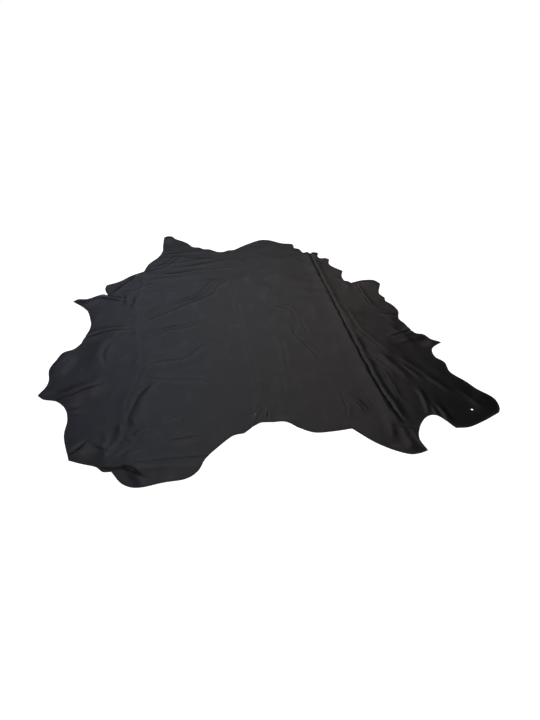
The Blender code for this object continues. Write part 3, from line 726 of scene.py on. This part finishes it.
class Finish:
    """A new material with the few node steps that the finishes below are built from."""

    def __init__(self, name, colour, roughness, **constants):
        self.material = bpy.data.materials.new(name)
        self.material.use_nodes = True
        self.tree = self.material.node_tree
        self.shader = self.tree.nodes["Principled BSDF"]
        self.shader.inputs["Base Color"].default_value = (*colour, 1)
        self.shader.inputs["Roughness"].default_value = roughness
        for socket, value in constants.items():
            self.shader.inputs[socket.replace("_", " ")].default_value = value
        self.place = self.tree.nodes.new("ShaderNodeTexCoord").outputs["Object"]

    def node(self, kind, inputs, **settings):
        """A node with its settings, its inputs linked or set, and its first output handed back."""
        node = self.tree.nodes.new("ShaderNode" + kind)
        for setting, value in settings.items():
            setattr(node, setting, value)
        for socket, value in inputs.items():
            if isinstance(value, bpy.types.NodeSocket):
                self.tree.links.new(value, node.inputs[socket])
            else:
                node.inputs[socket].default_value = value
        return node.outputs[0]

    def stretched(self, turn, scale):
        """Places turned by so many degrees about the upright and scaled along each axis."""
        return self.node("Mapping", {"Vector": self.place, "Rotation": (0, 0, math.radians(turn)),
                                     "Scale": scale})

    def clouds(self, size, detail=3, roughness=0.55, vector=None, distortion=0):
        """Soft noise from 0 to 1. Its largest features are about size metres across."""
        return self.node("TexNoise", {"Vector": vector or self.place, "Scale": 1 / size, "Detail": detail,
                                      "Roughness": roughness, "Distortion": distortion})

    def warped(self, scale, reach, detail):
        """Places shifted by up to reach metres along a noise of that scale."""
        shift = self.node("TexNoise", {"Vector": self.place, "Scale": scale, "Detail": detail})
        shift = self.node("VectorMath", {0: shift, "Scale": reach}, operation="SCALE")
        return self.node("VectorMath", {0: self.place, 1: shift}, operation="ADD")

    def cells(self, size, vector, feature="F1"):
        """Cells about size metres across: the distance from the middle, or from the border."""
        return self.node("TexVoronoi", {"Vector": vector, "Scale": 1 / size}, feature=feature)

    def attribute(self, name):
        node = self.tree.nodes.new("ShaderNodeAttribute")
        node.attribute_name = name
        return node.outputs["Fac"]

    def ramp(self, value, span, to_low=0.0, to_high=1.0):
        """The value's change over the span, made a smooth change from to_low to to_high."""
        low, high = span
        inputs = {"Value": value, "From Min": low, "From Max": high, "To Min": to_low, "To Max": to_high}
        return self.node("MapRange", inputs, interpolation_type="SMOOTHSTEP")

    def add(self, value, other):
        return self.node("Math", {0: value, 1: other}, operation="ADD")

    def times(self, value, other):
        return self.node("Math", {0: value, 1: other}, operation="MULTIPLY")

    def mix(self, share, colour, other):
        node = self.tree.nodes.new("ShaderNodeMix")
        node.data_type = "RGBA"
        for socket, value in ((0, share), (6, colour), (7, other)):
            if isinstance(value, bpy.types.NodeSocket):
                self.tree.links.new(value, node.inputs[socket])
            else:
                node.inputs[socket].default_value = value if socket == 0 else (*value, 1)
        return node.outputs[2]

    def bump(self, height, depth, strength, under=None):
        """Relief depth metres deep, laid over the relief that came before it."""
        inputs = {"Height": height, "Distance": depth, "Strength": strength}
        if under is not None:
            inputs["Normal"] = under
        return self.node("Bump", inputs)

    def finish(self, colour, roughness, normal):
        for socket, value in (("Base Color", colour), ("Roughness", roughness), ("Normal", normal)):
            self.tree.links.new(value, self.shader.inputs[socket])
        return self.material


def grain_material():
    """The dyed and finished hair side: fine pebbled grain, growth lines, a worn rim, crests lightened
    partly by rubbing and partly by painted sheen, and painted shade in the valleys.
    """
    leather = Finish("grain_side", BLACK, GRAIN_ROUGHNESS, Specular_IOR_Level=GRAIN_SPECULAR,
                     Coat_Weight=COAT_WEIGHT, Coat_Roughness=COAT_ROUGHNESS)
    warp = leather.warped(PEBBLE_WARP_SCALE, PEBBLE * PEBBLE_WARP_SHARE, detail=2)
    pebbles = leather.ramp(leather.cells(PEBBLE, warp, "DISTANCE_TO_EDGE"), PEBBLE_BORDER_RANGE)
    pores = leather.ramp(leather.cells(PORE_SPACING, warp), PORE_RANGE)
    creasing = leather.clouds(CREASING_SIZE, detail=6, roughness=0.62, distortion=0.6)
    lines = leather.stretched(GROWTH_TURN, GROWTH_STRETCH)
    growth = leather.clouds(GROWTH_SIZE, detail=4, roughness=0.6, vector=lines, distortion=0.4)
    cast = leather.clouds(CAST_SIZE, detail=4)
    patches = leather.clouds(PATCH_SIZE, detail=5, roughness=0.6)
    crest = leather.attribute("crest")
    rim = leather.attribute("rim")

    colour = leather.mix(leather.ramp(cast, CAST_RANGE), BLACK, BLACK_COOL)
    faded = leather.ramp(patches, PATCH_FADE_RANGE, 0.0, FADED_SHARE)
    colour = leather.mix(faded, colour, BLACK_FADED)
    # Crests made lighter: partly rubbed wear, partly painted sheen
    rubbed_and_sheen = leather.times(leather.ramp(crest, CREST_RUB_AND_SHEEN_RANGE), RUBBED_AND_SHEEN_SHARE)
    colour = leather.mix(rubbed_and_sheen, colour, BLACK_RUBBED_AND_SHEEN)
    # Valleys made darker: painted shade
    deep = leather.ramp(crest, VALLEY_SHADE_RANGE, 0.0, PAINTED_VALLEY_SHADE_SHARE)
    colour = leather.mix(deep, colour, PAINTED_VALLEY_SHADE)
    dry = leather.times(leather.ramp(rim, RIM_DRY_RANGE), leather.ramp(patches, PATCH_RIM_RANGE))
    colour = leather.mix(dry, colour, RIM_DRY)

    glossy, dull = GRAIN_ROUGHNESS + GLOSSY_PATCH, GRAIN_ROUGHNESS + DULL_PATCH
    roughness = leather.ramp(patches, PATCH_GLOSS_RANGE, glossy, dull)
    roughness = leather.add(roughness, leather.ramp(pebbles, PEBBLE_RANGE, DULL_BETWEEN_PEBBLES, 0.0))
    roughness = leather.add(roughness, leather.ramp(crest, CREST_GLOSS_RANGE, 0.0, GLOSSY_CREST))
    roughness = leather.add(roughness, leather.ramp(rim, RIM_DULL_RANGE, 0.0, DULL_RIM))

    normal = leather.bump(growth, GROWTH_DEPTH, strength=0.4)
    normal = leather.bump(creasing, CREASING_DEPTH, strength=0.5, under=normal)
    normal = leather.bump(pores, PORE_DEPTH, strength=0.5, under=normal)
    normal = leather.bump(pebbles, PEBBLE_DEPTH, strength=0.6, under=normal)
    return leather.finish(colour, roughness, normal)


def flesh_material():
    """The flesh side: a short grey nap, brushed one way, with darker veins."""
    suede = Finish("flesh_side", SUEDE, SUEDE_ROUGHNESS, Specular_IOR_Level=SUEDE_SPECULAR,
                   Sheen_Weight=SUEDE_SHEEN, Sheen_Roughness=SUEDE_SHEEN_ROUGHNESS)
    nap = suede.clouds(NAP_SIZE, detail=5, roughness=0.7, distortion=0.5)
    strokes = suede.stretched(BRUSHED_TURN, BRUSHED_STRETCH)
    brushed = suede.clouds(BRUSHED_SIZE, detail=5, roughness=0.6, vector=strokes)
    warp = suede.warped(VEIN_WARP_SCALE, VEIN_WARP, detail=4)
    veins = suede.ramp(suede.cells(VEIN_SPACING, warp, "DISTANCE_TO_EDGE"), VEIN_RANGE)
    colour = suede.mix(suede.ramp(brushed, BRUSHED_RANGE), SUEDE, SUEDE_LIGHT)
    colour = suede.mix(suede.ramp(nap, NAP_RANGE, 0.0, NAP_SHARE), colour, SUEDE_DARK)
    colour = suede.mix(suede.ramp(veins, (0.0, 1.0), VEIN_SHARE, 0.0), colour, SUEDE_DARK)
    roughness = suede.ramp(brushed, BRUSHED_GLOSS_RANGE, *BRUSHED_ROUGHNESS)
    normal = suede.bump(veins, VEIN_DEPTH, strength=0.5)
    normal = suede.bump(nap, NAP_DEPTH, strength=0.8, under=normal)
    return suede.finish(colour, roughness, normal)


def edge_material():
    """The raw cut: dark dyed leather with greyer fibres."""
    cut = Finish("cut_edge", EDGE_DARK, EDGE_ROUGHNESS, Specular_IOR_Level=EDGE_SPECULAR)
    grain = cut.stretched(0, FIBRE_STRETCH)
    fibres = cut.clouds(FIBRE_SIZE, detail=5, roughness=0.7, vector=grain)
    colour = cut.mix(cut.ramp(fibres, FIBRE_RANGE), EDGE_DARK, EDGE_FIBRE)
    roughness = cut.ramp(fibres, FIBRE_GLOSS_RANGE, *FIBRE_ROUGHNESS)
    return cut.finish(colour, roughness, cut.bump(fibres, FIBRE_DEPTH, strength=0.8))


def floor_material():
    return Finish("pale_floor", FLOOR_COLOUR, FLOOR_ROUGHNESS, Specular_IOR_Level=0.0).material


def make_floor():
    mesh = bpy.data.meshes.new("floor")
    half = FLOOR_SIZE / 2
    corners = [(-half, -half, 0), (half, -half, 0), (half, half, 0), (-half, half, 0)]
    mesh.from_pydata(corners, [], [(0, 1, 2, 3)])
    mesh.materials.append(floor_material())
    floor = bpy.data.objects.new("floor", mesh)
    floor.location.z = -FLOOR_GAP
    bpy.context.scene.collection.objects.link(floor)


def panel_light(name, place, tilt, turn, width, height, radiance, colour):
    """A glowing panel that faces the hide and that the camera doesn't see."""
    data = bpy.data.lights.new(name, "AREA")
    data.shape = "RECTANGLE"
    data.size, data.size_y = width, height
    data.energy = radiance * math.pi * width * height
    data.color = colour
    light = bpy.data.objects.new(name, data)
    light.location = place
    light.rotation_euler = (math.radians(tilt), 0, math.radians(turn))
    light.visible_camera = False
    bpy.context.scene.collection.objects.link(light)


def make_world():
    """A dim studio round the hide, which the camera itself sees as plain white."""
    world = bpy.data.worlds.new("studio")
    world.use_nodes = True
    nodes, links = world.node_tree.nodes, world.node_tree.links
    dim = nodes["Background"]
    dim.inputs["Color"].default_value = WORLD_COLOUR
    dim.inputs["Strength"].default_value = WORLD_STRENGTH
    white = nodes.new("ShaderNodeBackground")
    white.inputs["Color"].default_value = WORLD_AS_SEEN
    seen = nodes.new("ShaderNodeLightPath")
    mix = nodes.new("ShaderNodeMixShader")
    links.new(seen.outputs["Is Camera Ray"], mix.inputs["Fac"])
    links.new(dim.outputs[0], mix.inputs[1])
    links.new(white.outputs[0], mix.inputs[2])
    links.new(mix.outputs[0], nodes["World Output"].inputs["Surface"])
    bpy.context.scene.world = world


def make_studio():
    bpy.context.scene.view_settings.view_transform = "Standard"
    make_world()
    for name, left, right, low, radiance, colour in PANELS:
        place = ((left + right) / 2, PANEL_PLANE, (low + PANEL_TOP) / 2)
        panel_light(name, place, -90, 0, right - left, PANEL_TOP - low, radiance, colour)
    for row in SINGLE_PANELS:
        panel_light(*row)
    data = bpy.data.lights.new("high_soft_light", "SUN")
    data.energy = SUN_STRENGTH
    data.angle = math.radians(SUN_ANGLE)
    sun = bpy.data.objects.new("high_soft_light", data)
    sun.rotation_euler = (math.radians(SUN_LEAN), 0, 0)
    sun.visible_glossy = False
    bpy.context.scene.collection.objects.link(sun)


def make_camera():
    data = bpy.data.cameras.new("camera")
    data.lens = CAMERA_LENS
    data.sensor_width = CAMERA_SENSOR
    camera = bpy.data.objects.new("camera", data)
    camera.location = CAMERA_PLACE
    camera.rotation_euler = (math.radians(90 - CAMERA_PITCH_DOWN), 0, -math.radians(CAMERA_TURN_RIGHT))
    bpy.context.scene.collection.objects.link(camera)
    bpy.context.scene.camera = camera


make_camera()
make_studio()
make_floor()
hide = make_hide((grain_material(), flesh_material(), edge_material()))
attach(hide, "root")
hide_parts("hide")
